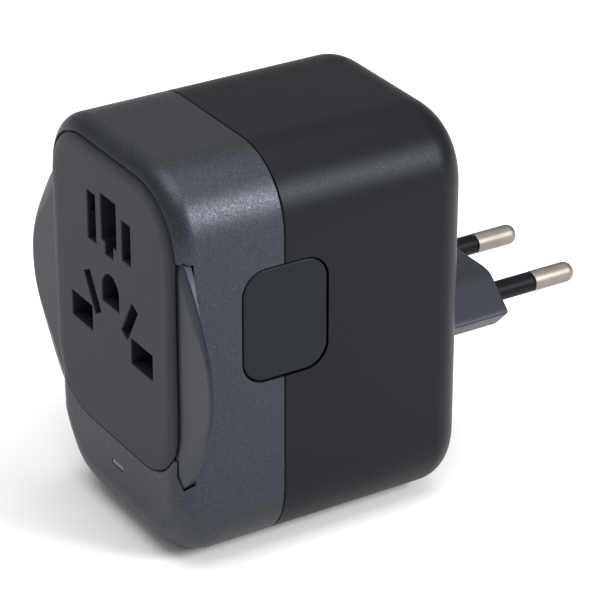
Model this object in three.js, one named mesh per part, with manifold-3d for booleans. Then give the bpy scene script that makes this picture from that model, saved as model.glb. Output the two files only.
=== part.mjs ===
// Universal travel adapter, as an assembly of separate pieces.
// Millimetres. X across the front face, Y from the socket face to the plug,
// Z up from the underside. Everything is laid out with Y = 0 on the socket
// face and the whole group is then moved so that the origin is the middle of
// the underside's bounding box.
import * as THREE from 'three';
import { mergeVertices } from 'three/addons/utils/BufferGeometryUtils.js';
import Module from 'manifold-3d';

const wasm = await Module();
wasm.setup();

// ---------------------------------------------------------------- sizes
// body
const HALF_W = 24.4;            // half width of the casing
const FOOT_Z = -0.8;            // underside, below the height datum of the sizes here
const BODY_H = 76.2;            // height of the casing
const CORNER = 14.5;            // reach of the casing's soft corners
const CORNER_N = 2.25;          // exponent of the soft corners
const FRONT_Y = 0.3;            // flat front of the front shell
const SEAM_Y = 21.4;            // joint line between the shells
const REAR_Y = 60.48;           // flat rear face
const TOTAL_Y = 94.3;           // socket face to pin tips
const WALL = 1.8;
const FILLET_SIDE = 3.8;        // front edge round, sides and top
const FILLET_FOOT = 8.6;        // front edge round, underside
const FILLET_REAR = 6.7;
const SEAM_GAP = 0.3;
const FRONT_WALL_BACK = 5.15;   // rear of the front shell's thick front wall
const REAR_WALL_FRONT = 58.7;
// socket panel
const PANEL_HALF_W = 22.3;
const PANEL_Z0 = 17.4;
const PANEL_Z1 = 73.4;
const PANEL_T = 0.9;
const PANEL_CLEAR = 0.25;
const HUB_R = 21.0;
const HUB_BACK = 4.9;
const KEY_R = 25.9;             // raised key of the hub, also the wheel's stop
const KEY_HALF_DEG = 20.5;
// selector wheel
const WHEEL_R = 31.9;           // round part of the wheel
const EAR = 1.7;                // how far the thumb ears at the sides stand past it
const EAR_DEG = 34;             // half width of an ear
const WHEEL_Z = 40.44;
const WHEEL_Y0 = 1.15;
const WHEEL_Y1 = 3.15;
const EAR_RIM = 0.7;            // rim thickness at the ears, whose back slopes away
const RIM_SLOPE = 2.6;          // radial width of the slopes at the rim
const RIM_DROP = 0.7;           // how far the front slope falls
const WHEEL_BORE = 21.3;
const WHEEL_TURN = 10;          // degrees each way
// socket holes, measured from the pair of flat blade slots
const US_Z = 59.44;
const US_X = 6.35;
const UK_X = 11.11;
const UK_Z = 38.77;
const EARTH_Z = 61.0;
const GROUND_Z = 47.44;
const AU_X = 6.86;
const AU_Z = 44.39;
const AU_TILT = 30;
// rear plugs
const EU_X = 9.5;
const EU_Z = 30.94;
const EU_FACE = 75.3;
const EU_TRAVEL = 34.3;
const UKP_Z = 39.9;
const UKP_EARTH_Z = 62.13;
const UK_TRAVEL = 22.9;
const USP_Z = 52.0;
const US_TRAVEL = 17.8;
// release button, on the +X side
const BTN_Y0 = 12.9, BTN_Y1 = 30.0, BTN_Z0 = 35.9, BTN_Z1 = 57.5, BTN_CR = 4.5;
const GAP = 0.3;

// ------------------------------------------------------------- materials
const mat = (color, roughness, metalness) =>
  new THREE.MeshStandardMaterial({ color, roughness, metalness });
const M = {
  shellGrey: mat(0x50545c, 0.45, 0.35),
  panelGrey: mat(0x464951, 0.5, 0.15),
  shellBlack: mat(0x2f323a, 0.55, 0.05),
  button: mat(0x2e3139, 0.5, 0.05),
  plug: mat(0x3b3f43, 0.45, 0.05),
  inner: mat(0x26282b, 0.7, 0.0),
  light: mat(0xd8d8d4, 0.6, 0.0),
  brass: mat(0xb8934a, 0.35, 0.9),
  nickel: mat(0xb5b0a8, 0.3, 0.9),
  steel: mat(0x9a9c9e, 0.35, 0.9),
  board: mat(0x1f5a36, 0.6, 0.0),
  tape: mat(0xc8a02c, 0.6, 0.0),
  sleeve: mat(0x221f20, 0.6, 0.0),
  led: mat(0xc9ccd0, 0.2, 0.0),
};

// --------------------------------------------------------------- helpers
function solid(geometry) {
  const g = geometry.clone();
  for (const k of Object.keys(g.attributes)) if (k !== 'position') g.deleteAttribute(k);
  const m = mergeVertices(g, 1e-5);
  const vertProperties = new Float32Array(m.attributes.position.array);
  const triVerts = new Uint32Array(m.index.array);
  return new wasm.Manifold(new wasm.Mesh({ numProp: 3, vertProperties, triVerts }));
}
const box = (x0, x1, y0, y1, z0, z1) =>
  solid(new THREE.BoxGeometry(x1 - x0, y1 - y0, z1 - z0)
    .translate((x0 + x1) / 2, (y0 + y1) / 2, (z0 + z1) / 2));
const toShape = (pts) => new THREE.Shape(pts.map(([a, b]) => new THREE.Vector2(a, b)));
// shape in (x, z), from y0 to y1
const prismY = (shape, y0, y1) =>
  solid(new THREE.ExtrudeGeometry(shape, { depth: y1 - y0, bevelEnabled: false, curveSegments: 8 })
    .rotateX(Math.PI / 2).translate(0, y1, 0));
// shape in (x, y), from z0 to z1
const prismZ = (shape, z0, z1) =>
  solid(new THREE.ExtrudeGeometry(shape, { depth: z1 - z0, bevelEnabled: false, curveSegments: 8 })
    .translate(0, 0, z0));
const TO_X = new THREE.Matrix4().set(0, 0, 1, 0, 1, 0, 0, 0, 0, 1, 0, 0, 0, 0, 0, 1);
// shape in (y, z), from x0 to x1
const prismX = (shape, x0, x1) =>
  solid(new THREE.ExtrudeGeometry(shape, { depth: x1 - x0, bevelEnabled: false, curveSegments: 8 })
    .applyMatrix4(TO_X).translate(x0, 0, 0));
const cylY = (x, z, r, y0, y1, seg = 20) =>
  solid(new THREE.CylinderGeometry(r, r, y1 - y0, seg).translate(x, (y0 + y1) / 2, z));
const cylZ = (x, y, r, z0, z1, seg = 20) =>
  solid(new THREE.CylinderGeometry(r, r, z1 - z0, seg).rotateX(Math.PI / 2)
    .translate(x, y, (z0 + z1) / 2));
// profile [[radius, y], ...] turned about an axis parallel to Y at (x, z)
const latheY = (profile, x, z, seg = 24) =>
  solid(new THREE.LatheGeometry(profile.map(([r, y]) => new THREE.Vector2(r, y)), seg)
    .translate(x, 0, z));
const latheZ = (profile, x, y, seg = 24) =>
  solid(new THREE.LatheGeometry(profile.map(([r, h]) => new THREE.Vector2(r, h)), seg)
    .rotateX(Math.PI / 2).translate(x, y, 0));
const union = (...parts) => parts.reduce((a, b) => a.add(b));
const less = (a, ...parts) => parts.reduce((s, b) => s.subtract(b), a);
const smooth = (a, b, v) => {
  const t = Math.min(1, Math.max(0, (v - a) / (b - a)));
  return t * t * (3 - 2 * t);
};

// soft-cornered rectangle: points and outward normals, counter-clockwise
function softRect(halfW, z0, z1, ex, n, seg) {
  const out = [];
  for (let c = 0; c < 4; c++) {
    const sx = c === 0 || c === 3 ? 1 : -1;
    const sz = c < 2 ? 1 : -1;
    for (let i = 0; i <= seg; i++) {
      const f = c % 2 === 0 ? i / seg : 1 - i / seg;
      const t = (f * Math.PI) / 2;
      const u = f === 1 ? 0 : Math.pow(Math.cos(t), 2 / n);
      const v = f === 0 ? 0 : Math.pow(Math.sin(t), 2 / n);
      const nu = f === 1 ? 0 : Math.pow(u, n - 1), nv = f === 0 ? 0 : Math.pow(v, n - 1);
      const l = Math.hypot(nu, nv);
      out.push({
        x: sx * (halfW - ex + ex * u),
        z: sz > 0 ? z1 - ex + ex * v : z0 + ex - ex * v,
        nx: (sx * nu) / l,
        nz: (sz * nv) / l,
      });
    }
  }
  return out;
}
// rings of [x, y, z], y rising from ring to ring, joined into one solid
function loft(rings) {
  const n = rings.length - 1;
  const base = rings[0].map((p) => [p[0], p[2]]);
  const g = new THREE.ExtrudeGeometry(toShape(base), { depth: n, steps: n, bevelEnabled: false });
  const nearest = (a, b) => base.reduce((m, [u, v], i) => {
    const d = Math.hypot(u - a, v - b);
    return d < m.d ? { d, i } : m;
  }, { d: Infinity, i: 0 }).i;
  const p = g.attributes.position;
  for (let v = 0; v < p.count; v++) {
    const r = rings[n - Math.round(p.getZ(v))][nearest(p.getX(v), p.getY(v))];
    p.setXYZ(v, r[0], r[1], r[2]);
  }
  return solid(g);
}
const insetRing = (outline, inset, y) =>
  outline.map((q, i) => {
    const d = typeof inset === 'function' ? inset(q, i) : inset;
    return [q.x - q.nx * d, typeof y === 'function' ? y(q, i) : y, q.z - q.nz * d];
  });
const softPrism = (halfW, z0, z1, ex, n, y0, y1, seg = 6) => {
  const o = softRect(halfW, z0, z1, ex, n, seg);
  return loft([insetRing(o, 0, y0), insetRing(o, 0, y1)]);
};
// circle sector ring about the wheel's axis; angles in degrees from +Z towards +X
function sector(r0, r1, a0, a1, steps) {
  const pts = [];
  const at = (r, a) => [r * Math.sin((a * Math.PI) / 180), WHEEL_Z + r * Math.cos((a * Math.PI) / 180)];
  for (let i = 0; i <= steps; i++) pts.push(at(r1, a0 + ((a1 - a0) * i) / steps));
  if (r0 > 0) for (let i = steps; i >= 0; i--) pts.push(at(r0, a0 + ((a1 - a0) * i) / steps));
  else pts.push([0, WHEEL_Z]);
  return toShape(pts.reverse());
}
const rectShape = (x0, x1, z0, z1) => toShape([[x0, z0], [x1, z0], [x1, z1], [x0, z1]]);
function roundRectShape(x0, x1, z0, z1, r, seg = 6) {
  const pts = [];
  const c = [[x1 - r, z1 - r, 0], [x0 + r, z1 - r, 90], [x0 + r, z0 + r, 180], [x1 - r, z0 + r, 270]];
  for (const [cx, cz, a] of c)
    for (let i = 0; i <= seg; i++) {
      const t = ((a + (90 * i) / seg) * Math.PI) / 180;
      pts.push([cx + r * Math.cos(t), cz + r * Math.sin(t)]);
    }
  return toShape(pts);
}
function coil(turns, r, wire, length, stepsPerTurn = 9) {
  const pts = [];
  const n = Math.round(turns * stepsPerTurn);
  for (let i = 0; i <= n; i++) {
    const a = (i / stepsPerTurn) * 2 * Math.PI;
    pts.push(new THREE.Vector3(r * Math.cos(a), r * Math.sin(a), wire + ((length - 2 * wire) * i) / n));
  }
  const section = [];
  for (let i = 0; i < 6; i++) section.push([wire * Math.cos((i * Math.PI) / 3), wire * Math.sin((i * Math.PI) / 3)]);
  return new THREE.ExtrudeGeometry(toShape(section), {
    steps: n, bevelEnabled: false, extrudePath: new THREE.CatmullRomCurve3(pts),
  });
}

const root = new THREE.Group();
root.position.set(0, -TOTAL_Y / 2, -FOOT_Z);
function add(name, s, material, group = root) {
  const { vertProperties, triVerts } = s.getMesh();
  const g = new THREE.BufferGeometry();
  g.setAttribute('position', new THREE.BufferAttribute(new Float32Array(vertProperties), 3));
  g.setIndex(new THREE.BufferAttribute(new Uint32Array(triVerts), 1));
  g.computeVertexNormals();
  const m = new THREE.Mesh(g, material);
  m.name = name;
  group.add(m);
  return m;
}

// ------------------------------------------------------------ hole shapes
const usNeutral = rectShape(-US_X - 1.5, -US_X + 1.5, US_Z - 4.65, US_Z + 4.65);
const usLine = rectShape(US_X - 1.55, US_X + 1.55, US_Z - 3.8, US_Z + 3.8);
const earthHole = toShape([
  [-1.45, EARTH_Z - 6.8], [1.45, EARTH_Z - 6.8], [1.45, EARTH_Z - 4.4], [2.75, EARTH_Z - 4.4],
  [2.75, EARTH_Z + 4.4], [-2.75, EARTH_Z + 4.4], [-2.75, EARTH_Z - 4.4], [-1.45, EARTH_Z - 4.4],
]);
const groundPts = [[-3.1, GROUND_Z - 3.0], [3.1, GROUND_Z - 3.0]];
for (let i = 0; i <= 8; i++) {
  const t = (i / 8) * Math.PI;
  groundPts.push([3.1 * Math.cos(t), GROUND_Z - 0.1 + 3.1 * Math.sin(t)]);
}
const groundHole = toShape(groundPts);
const ukHole = (s) => rectShape(s * UK_X - 3.85, s * UK_X + 3.85, UK_Z - 2.45, UK_Z + 2.45);
const auHole = (s) => {
  const t = (AU_TILT * Math.PI) / 180;
  const ax = s * Math.sin(t), az = Math.cos(t);
  const pts = [[-4, -1.2], [-4, 1.2], [4, 1.2], [4, -1.2]].map(([a, b]) => [
    s * AU_X + a * ax + b * az, AU_Z + a * az - b * ax,
  ]);
  return toShape(pts);
};
const socketHoles = (y0, y1) =>
  union(...[usNeutral, usLine, earthHole, groundHole, ukHole(-1), ukHole(1), auHole(-1), auHole(1)]
    .map((s) => prismY(s, y0, y1)));

// --------------------------------------------------------------- shells
const bodyOutline = softRect(HALF_W, FOOT_Z, BODY_H, CORNER, CORNER_N, 7);
const frontRound = (q) => FILLET_SIDE + (FILLET_FOOT - FILLET_SIDE) * smooth(22, 4, q.z);
function frontOuter(seamY) {
  const rings = [];
  for (let k = 0; k <= 4; k++) {
    const a = (k / 4) * (Math.PI / 2);
    rings.push(insetRing(bodyOutline, (q) => frontRound(q) * (1 - Math.sin(a)),
      (q) => FRONT_Y + frontRound(q) * (1 - Math.cos(a))));
  }
  rings.push(insetRing(bodyOutline, 0, seamY));
  return loft(rings);
}
function frontInner(seamY) {
  const rings = [];
  const r = (q) => 1.2 + 2.6 * smooth(22, 4, q.z);
  for (let k = 0; k <= 3; k++) {
    const a = (k / 3) * (Math.PI / 2);
    rings.push(insetRing(bodyOutline, (q) => WALL + r(q) * (1 - Math.sin(a)),
      (q) => FRONT_WALL_BACK + r(q) * (1 - Math.cos(a))));
  }
  rings.push(insetRing(bodyOutline, WALL, seamY));
  return loft(rings);
}
function rearOuter() {
  const rings = [insetRing(bodyOutline, 0, SEAM_Y)];
  for (let k = 0; k <= 4; k++) {
    const a = (k / 4) * (Math.PI / 2);
    rings.push(insetRing(bodyOutline, FILLET_REAR * (1 - Math.cos(a)),
      REAR_Y - FILLET_REAR * (1 - Math.sin(a))));
  }
  return loft(rings);
}
function rearInner() {
  const r = 5.0;
  const rings = [insetRing(bodyOutline, WALL, SEAM_Y - 1)];
  for (let k = 0; k <= 3; k++) {
    const a = (k / 3) * (Math.PI / 2);
    rings.push(insetRing(bodyOutline, WALL + r * (1 - Math.cos(a)),
      REAR_WALL_FRONT - r * (1 - Math.sin(a))));
  }
  return loft(rings);
}
const panelOutline = softRect(PANEL_HALF_W, PANEL_Z0, PANEL_Z1, 13, 2.3, 6);
const panelSeat = loft([insetRing(panelOutline, -PANEL_CLEAR, -1), insetRing(panelOutline, -PANEL_CLEAR, PANEL_T + 0.15)]);
const hubHole = union(
  cylY(0, WHEEL_Z, HUB_R + GAP, 0.9, 6, 48),
  prismY(sector(0, KEY_R + GAP, -KEY_HALF_DEG - 0.6, KEY_HALF_DEG + 0.6, 12), 0.9, 6),
);
// side slots of the three thumb knobs, on the -X side
const knobSlots = [
  [28.2, 32.8, 11.4, 50.3],
  [38.7, 43.1, 26.7, 54.3],
  [49.8, 54.2, 30.6, 53.2],
];
const slotCut = union(...knobSlots.map(([z0, z1, y0, y1]) => box(-27, -20, y0, y1, z0, z1)));
const buttonCut = prismX(roundRectShape(BTN_Y0 - 0.35, BTN_Y1 + 0.35, BTN_Z0 - 0.35, BTN_Z1 + 0.35, BTN_CR + 0.35), 20, 27);
const posts = [[-13.8, 68.7], [13.8, 68.7], [-13.8, 7.2], [13.8, 7.2]];
const DETENT = [15.5, 18.33];   // x, z of the detent pocket
const LED = [0.3, 11.9];
const capsule = (hw, hz) => roundRectShape(LED[0] - hw, LED[0] + hw, LED[1] - hz, LED[1] + hz, hz - 0.001, 3);

// round pocket for the wheel, with the same front slope as the rim
const pocketOutline = [];
for (let i = 0; i < 64; i++) {
  const t = (i / 64) * 2 * Math.PI;
  const nx = Math.cos(t), nz = Math.sin(t);
  pocketOutline.push({ x: (WHEEL_R + 0.4) * nx, z: WHEEL_Z + (WHEEL_R + 0.4) * nz, nx, nz });
}
const wheelPocket = loft([
  insetRing(pocketOutline, RIM_SLOPE, WHEEL_Y0 - 0.2),
  insetRing(pocketOutline, 0, WHEEL_Y0 - 0.2 + RIM_DROP),
  insetRing(pocketOutline, 0, WHEEL_Y1 + 0.2)]);

let frontShell = less(frontOuter(SEAM_Y - SEAM_GAP / 2), frontInner(SEAM_Y + 1));
frontShell = union(frontShell,
  ...posts.map(([x, z]) => cylY(x, z, 2.1, 4.6, 57.0, 16)),
  cylY(DETENT[0], DETENT[1], 2.2, 4.6, 9.6, 16));
frontShell = less(frontShell,
  panelSeat,
  wheelPocket,
  box(20.0, 40, -2, WHEEL_Y1 + 0.2, 22.9, 62.1),
  box(-40, -20.0, -2, WHEEL_Y1 + 0.2, 22.9, 62.1),
  hubHole, slotCut, buttonCut,
  prismY(capsule(2.2 + 0.2, 0.55 + 0.2), -1, 6),
  cylY(DETENT[0], DETENT[1], 1.35, 3.2, 8.7, 12),
  cylZ(-5.5, 14.6, 4.1, -1, 3, 20),
  ...posts.map(([x, z]) => cylY(x, z, 1.2, 49.5, 58, 10)));
add('front_shell', frontShell, M.shellGrey);

// plug block outline in (x, z)
const euHalf = [[7.4, 36.04], [9.4, 35.75], [10.9, 34.85], [15.5, 30.7], [16.1, 30.0], [15.8, 29.4],
  [12.5, 26.0], [11.7, 25.55], [11.2, 25.44]];
const euPts = [...euHalf.map(([x, z]) => [-x, z]), ...[...euHalf].reverse()];
const euShape = toShape(euPts);
const euClear = toShape(euPts.map(([x, z]) => {
  const cx = x, cz = z - 30.7, l = Math.hypot(cx, cz);
  return [x + (cx / l) * 0.42, z + (cz / l) * 0.42];
}));
let rearShell = less(rearOuter(), rearInner());
rearShell = union(rearShell, ...posts.map(([x, z]) => cylY(x, z, 2.6, 57.4, 59.2, 14)));
const stadium = (hx, hy, y) => roundRectShape(-hx, hx, y - hy, y + hy, hy - 0.001, 4);
rearShell = less(rearShell,
  slotCut, buttonCut,
  prismY(euClear, 57, 62),
  box(-UK_X - 3.6, -UK_X + 3.6, 57, 62, UKP_Z - 2.4, UKP_Z + 2.4),
  box(UK_X - 3.6, UK_X + 3.6, 57, 62, UKP_Z - 2.4, UKP_Z + 2.4),
  box(-2.4, 2.4, 57, 62, UKP_EARTH_Z - 4.4, UKP_EARTH_Z + 4.4),
  cylY(-US_X, USP_Z, 3.6, 57, 62, 20), cylY(US_X, USP_Z, 3.6, 57, 62, 20),
  box(-7.0, 7.0, 30.6, 37.0, -1, 3),
  prismZ(stadium(4.9, 1.95, 41.8), -1, 3), prismZ(stadium(4.9, 1.95, 47.6), -1, 3),
  ...posts.map(([x, z]) => cylY(x, z, 2.4, 59.3, 62, 16)),
  ...posts.map(([x, z]) => cylY(x, z, 1.2, 57, 60, 10)));
add('rear_shell', rearShell, M.shellBlack);

// ----------------------------------------------------------- socket panel
// the edge is broad and soft at the top and sides, and almost flush below
const edgeW = (q) => 0.5 + 2.5 * smooth(17.6, 24, q.z);
const edgeH = (q) => 0.35 + (PANEL_T - 0.35) * smooth(17.6, 24, q.z);
const panelRings = [];
for (let k = 0; k <= 4; k++) {
  const a = (k / 4) * (Math.PI / 2);
  panelRings.push(insetRing(panelOutline, (q) => edgeW(q) * (1 - Math.sin(a)),
    (q) => edgeH(q) * (1 - Math.cos(a)) * 0.96));
}
panelRings.push(insetRing(panelOutline, 0, PANEL_T));
const panelScrews = [[-18.3, 47.5], [18.3, 47.5], [-9.5, 25.3], [9.5, 25.3]];
let panel = union(loft(panelRings),
  cylY(0, WHEEL_Z, HUB_R, PANEL_T - 0.3, HUB_BACK, 48),
  prismY(sector(0, KEY_R, -KEY_HALF_DEG, KEY_HALF_DEG, 10), PANEL_T - 0.3, HUB_BACK));
panel = less(panel, socketHoles(-1, 6),
  ...panelScrews.map(([x, z]) => cylY(x, z, 1.1, 2.0, 6, 10)));
add('front_panel', panel, M.panelGrey);

// --------------------------------------------------------- selector wheel
const wheelOutline = [];
const wheelAt = (t) => {
  const d = (Math.asin(Math.abs(Math.sin(t))) * 180) / Math.PI;
  const c = d < EAR_DEG ? Math.cos((d / EAR_DEG) * (Math.PI / 2)) : 0;
  const r = WHEEL_R + EAR * c * c;
  return [r * Math.cos(t), WHEEL_Z + r * Math.sin(t)];
};
for (let i = 0; i < 72; i++) {
  const t = (i / 72) * 2 * Math.PI;
  const [x, z] = wheelAt(t), [xa, za] = wheelAt(t - 0.01), [xb, zb] = wheelAt(t + 0.01);
  const l = Math.hypot(xb - xa, zb - za);
  wheelOutline.push({ x, z, nx: (zb - za) / l, nz: (xa - xb) / l });
}
const earDeg = (q) => (Math.asin(Math.min(1, Math.abs(q.z - WHEEL_Z) / Math.hypot(q.x, q.z - WHEEL_Z))) * 180) / Math.PI;
// front edge: rounded at the ears, a plain slope elsewhere
const frontEdge = [[1, 0], [0.48, 0.15], [0.13, 0.5], [0, 1]].map(([a, b]) => insetRing(wheelOutline,
  (q) => a * (1.2 + (RIM_SLOPE - 1.2) * smooth(8, 30, earDeg(q))),
  (q) => { const w = smooth(8, 30, earDeg(q)); return WHEEL_Y0 + (0.6 + (RIM_DROP - 0.6) * w) * (b * (1 - w) + (1 - a) * w); }));
// back edge: full thickness on the round part, sloping away behind the ears
const WHEEL_T = WHEEL_Y1 - WHEEL_Y0;
const earThin = (q) => 1 - smooth(24, 44, earDeg(q));
const rimT = (q) => EAR_RIM + (WHEEL_T - 0.05 - EAR_RIM) * (1 - earThin(q));
const backEdge = [
  insetRing(wheelOutline, 0, (q) => WHEEL_Y0 + Math.max(rimT(q), 0.6 + (RIM_DROP - 0.6) * smooth(8, 30, earDeg(q)) + 0.08)),
  insetRing(wheelOutline, (q) => 0.1 + (RIM_SLOPE - 0.1) * earThin(q), WHEEL_Y1)];
const KEYWAY = KEY_HALF_DEG + WHEEL_TURN + 0.8;
const wheel = less(
  loft([...frontEdge, ...backEdge]),
  cylY(0, WHEEL_Z, WHEEL_BORE, 0, 5, 48),
  prismY(sector(0, KEY_R + GAP, -KEYWAY, KEYWAY, 16), 0, 5),
  prismY(sector(27.3, 29.7, 180 - 22, 180 + 22, 12), 0, 5),
  prismY(sector(25.75, 28.25, 145 - 18, 145 + 18, 10), WHEEL_Y1 - 0.5, 5));
add('selector_wheel', wheel, M.panelGrey);

// detent ball and its spring, behind the wheel
add('detent_ball', solid(new THREE.SphereGeometry(1.08, 10, 6).translate(DETENT[0], 4.0, DETENT[1])), M.steel);
add('detent_spring', solid(coil(3, 0.85, 0.17, 3.1, 7).rotateX(-Math.PI / 2).translate(DETENT[0], 5.4, DETENT[1])), M.steel);

// ---------------------------------------------------------------- shutter
const shutter = union(
  box(-15.5, -7.1, 5.3, 6.5, 35.6, 41.8),
  box(7.1, 15.5, 5.3, 6.5, 35.6, 41.8),
  box(-7.3, 7.3, 5.3, 6.5, 35.6, 39.5));
add('socket_shutter', shutter, M.inner);
add('shutter_spring', solid(coil(7, 0.72, 0.19, 11.9, 6).translate(0, 6.1, 23.4)), M.steel);

// -------------------------------------------------------- contact carrier
const flangeOutline = softRect(21.2, 22.0, 66.2, 8, 2.3, 5);
const flange = loft([insetRing(flangeOutline, 0, 5.45), insetRing(flangeOutline, 0, 7.2)]);
const pocket = (x0, x1, z0, z1) => box(x0, x1, 4, 19.2, z0, z1);
let carrier = union(flange,
  box(-16.2, 16.2, 6.9, 20.6, 34.9, 66.2),
  box(10.4, 12.0, 20.0, 29.6, 43.4, 50.6));
carrier = less(carrier,
  box(-16.0, 16.0, 4, 7.0, 28.7, 42.3),
  box(-1.4, 1.4, 4, 8, 23.1, 29),
  pocket(4.3, 15.3, 36.3, 64.9), pocket(-15.3, -4.3, 36.3, 64.9),
  pocket(-3.3, 3.3, 43.6, 65.5),
  ...panelScrews.map(([x, z]) => cylY(x, z, 1.1, 4, 9, 10)));
add('contact_carrier', carrier, M.inner);

// sprung brass contacts: leaves each side of every pin's path
function liveContact(s) {
  const t = 0.5;
  const b = (x0, x1, y0, y1, z0, z1) => (s > 0 ? box(x0, x1, y0, y1, z0, z1) : box(-x1, -x0, y0, y1, z0, z1));
  const web = b(8.6, 12.6, 18.2, 18.8, 36.8, 62.4);
  const low = union(b(7.6, 14.6, 8.2, 18.8, 36.8, 36.8 + t), b(7.6, 14.6, 8.2, 18.8, 40.5, 40.5 + t));
  const us = union(b(5.0, 8.9, 18.2, 18.8, 56.6, 62.4),
    b(5.0, 5.0 + t, 8.2, 18.8, 56.6, 62.4), b(7.2, 7.2 + t, 8.2, 18.8, 56.6, 62.4));
  // leaves of the slanted pair, joined to the riser by a bridge
  const lean = (off) => solid(new THREE.BoxGeometry(t, 10.0, 5.0).rotateY((s * AU_TILT * Math.PI) / 180)
    .translate(s * AU_X + s * off * Math.cos((AU_TILT * Math.PI) / 180), 13.6, AU_Z + 1.2 - off * Math.sin((AU_TILT * Math.PI) / 180)));
  const au = union(lean(-1.15), lean(1.15), b(5.4, 9.2, 18.2, 18.8, 44.2, 46.8));
  return union(web, low, us, au);
}
add('line_contact', liveContact(1), M.brass);
add('neutral_contact', liveContact(-1), M.brass);
add('earth_contact', union(
  box(-1.6, 1.6, 18.2, 18.8, 45.0, 64.6),
  box(-2.7, -2.2, 8.2, 18.8, 57.6, 64.2), box(2.2, 2.7, 8.2, 18.8, 57.6, 64.2), box(-2.7, 2.7, 18.2, 18.8, 57.6, 64.2),
  box(-2.7, -2.2, 8.2, 18.8, 45.2, 49.4), box(2.2, 2.7, 8.2, 18.8, 45.2, 49.4), box(-2.7, 2.7, 18.2, 18.8, 45.2, 49.4),
), M.brass);
for (const s of [1, -1]) {
  const x0 = s > 0 ? 20.3 : -21.1;
  add(s > 0 ? 'line_bus_bar' : 'neutral_bus_bar', union(
    box(x0, x0 + 0.8, 23, 56.5, 59.2, 62.2),
    s > 0 ? box(17.2, 21.1, 22.2, 23.2, 59.2, 62.2) : box(-21.1, -17.2, 22.2, 23.2, 59.2, 62.2)), M.brass);
}

// self-tapping screws: slotted pan head, shaft ahead of it along -Y
function screw(x, z, headY, headR, headT, shaftR, length) {
  const body = latheY([[0, headY - length], [shaftR, headY - length + 0.9],
    [shaftR, headY], [headR, headY], [headR, headY + headT * 0.55], [headR * 0.75, headY + headT], [0, headY + headT]], x, z, 8);
  return less(body, box(x - headR * 0.6, x + headR * 0.6, headY + headT * 0.5, headY + headT + 1, z - 0.22, z + 0.22));
}
panelScrews.forEach(([x, z], i) => add(`panel_screw_${i + 1}`, screw(x, z, 7.5, 1.6, 1.0, 0.8, 5.1), M.steel));
posts.forEach(([x, z], i) => add(`case_screw_${i + 1}`, screw(x, z, 59.6, 2.0, 0.8, 0.9, 9.4), M.steel));

// -------------------------------------------------------- carriage frame
add('carriage_frame', union(
  box(-20, 20, 23.0, 57.5, 23.4, 24.8),
  box(-20, 20, 32.0, 57.5, 36.4, 37.2),
  box(17.0, 18.2, 32.0, 57.5, 24.0, 36.8)), M.inner);

// ------------------------------------------------------------ EU carriage
const euBody = union(
  prismY(euShape, 58.9, EU_FACE),
  prismY(euShape, 44.0, 59.0).intersect(box(-15.4, 15.4, 43, 60, 25.4, 34.5)));
const euBlock = less(euBody,
  cylY(-EU_X, EU_Z, 1.5, 65.7, 76, 16), cylY(EU_X, EU_Z, 1.5, 65.7, 76, 16));
add('eu_plug_block', euBlock, M.plug);
for (const s of [-1, 1]) {
  const side = s < 0 ? 'left' : 'right';
  add(`eu_pin_${side}`, latheY([[0, 66], [1.2, 66], [1.2, 85.0], [2.0, 85.0], [2.0, TOTAL_Y - 2.0],
    [1.85, TOTAL_Y - 1.2], [1.35, TOTAL_Y - 0.5], [0.7, TOTAL_Y - 0.12], [0, TOTAL_Y]], s * EU_X, EU_Z, 20), M.nickel);
  add(`eu_sleeve_${side}`, latheY([[1.5, EU_FACE + GAP], [1.95, EU_FACE + GAP], [1.95, 84.7], [1.5, 84.7],
    [1.5, EU_FACE + GAP]], s * EU_X, EU_Z, 20), M.sleeve);
}
// thumb knob: pad outside the wall, stem through the slot
function knob(padY, padZ, stem) {
  const pad = prismX(roundRectShape(padY - 3.6, padY + 3.6, padZ - 3.4, padZ + 3.4, 1.6, 4), -26.4, -24.7);
  const grips = [-1.8, 0, 1.8].map((d) => box(-27, -26.0, padY + d - 0.35, padY + d + 0.35, padZ - 5, padZ + 5));
  return less(union(pad, ...stem), ...grips);
}
add('eu_slide_knob', knob(48, 30.5, [box(-25, -15.7, 46.0, 50.0, 28.6, 32.4)]), M.button);

// ------------------------------------------------------------ UK carriage
const tenon = (x, z, hx, hz) => box(x - hx, x + hx, 30, 36, z - hz, z + hz);
const ukPlate = less(union(
  box(-15.6, 15.6, 31.4, 35.4, 37.6, 42.3),
  box(12.0, 15.6, 31.4, 35.4, 37.6, 65.5),
  box(-4.0, 12.1, 31.4, 35.4, 58.3, 66.1)),
  tenon(-UK_X, UKP_Z, 1.8, 1.3), tenon(UK_X, UKP_Z, 1.8, 1.3), tenon(0, UKP_EARTH_Z, 1.3, 2.3));
add('uk_plug_plate', ukPlate, M.inner);
function ukPin(x, z, hx, hz, tip, tx, tz) {
  const o = [[-hx, -hz], [hx, -hz], [hx, hz], [-hx, hz]].map(([a, b]) => ({ a, b }));
  const ring = (k, y) => o.map(({ a, b }) => [x + a - Math.sign(a) * k, y, z + b - Math.sign(b) * k]);
  return union(loft([ring(0, 35.7), ring(0, tip - 1.4), ring(0.9, tip)]), box(x - tx, x + tx, 31.8, 36, z - tz, z + tz));
}
add('uk_neutral_pin', ukPin(-UK_X, UKP_Z, 3.18, 2.0, 55.2, 1.5, 1.0), M.nickel);
add('uk_line_pin', ukPin(UK_X, UKP_Z, 3.18, 2.0, 55.2, 1.5, 1.0), M.nickel);
add('uk_earth_pin', ukPin(0, UKP_EARTH_Z, 2.0, 4.0, 60.2, 1.0, 2.0), M.nickel);
add('uk_slide_knob', knob(29, 40.9, [box(-25, -16.0, 27.2, 30.8, 39.1, 42.7), box(-18.2, -15.9, 27.2, 35.2, 39.1, 42.7)]), M.button);

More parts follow.
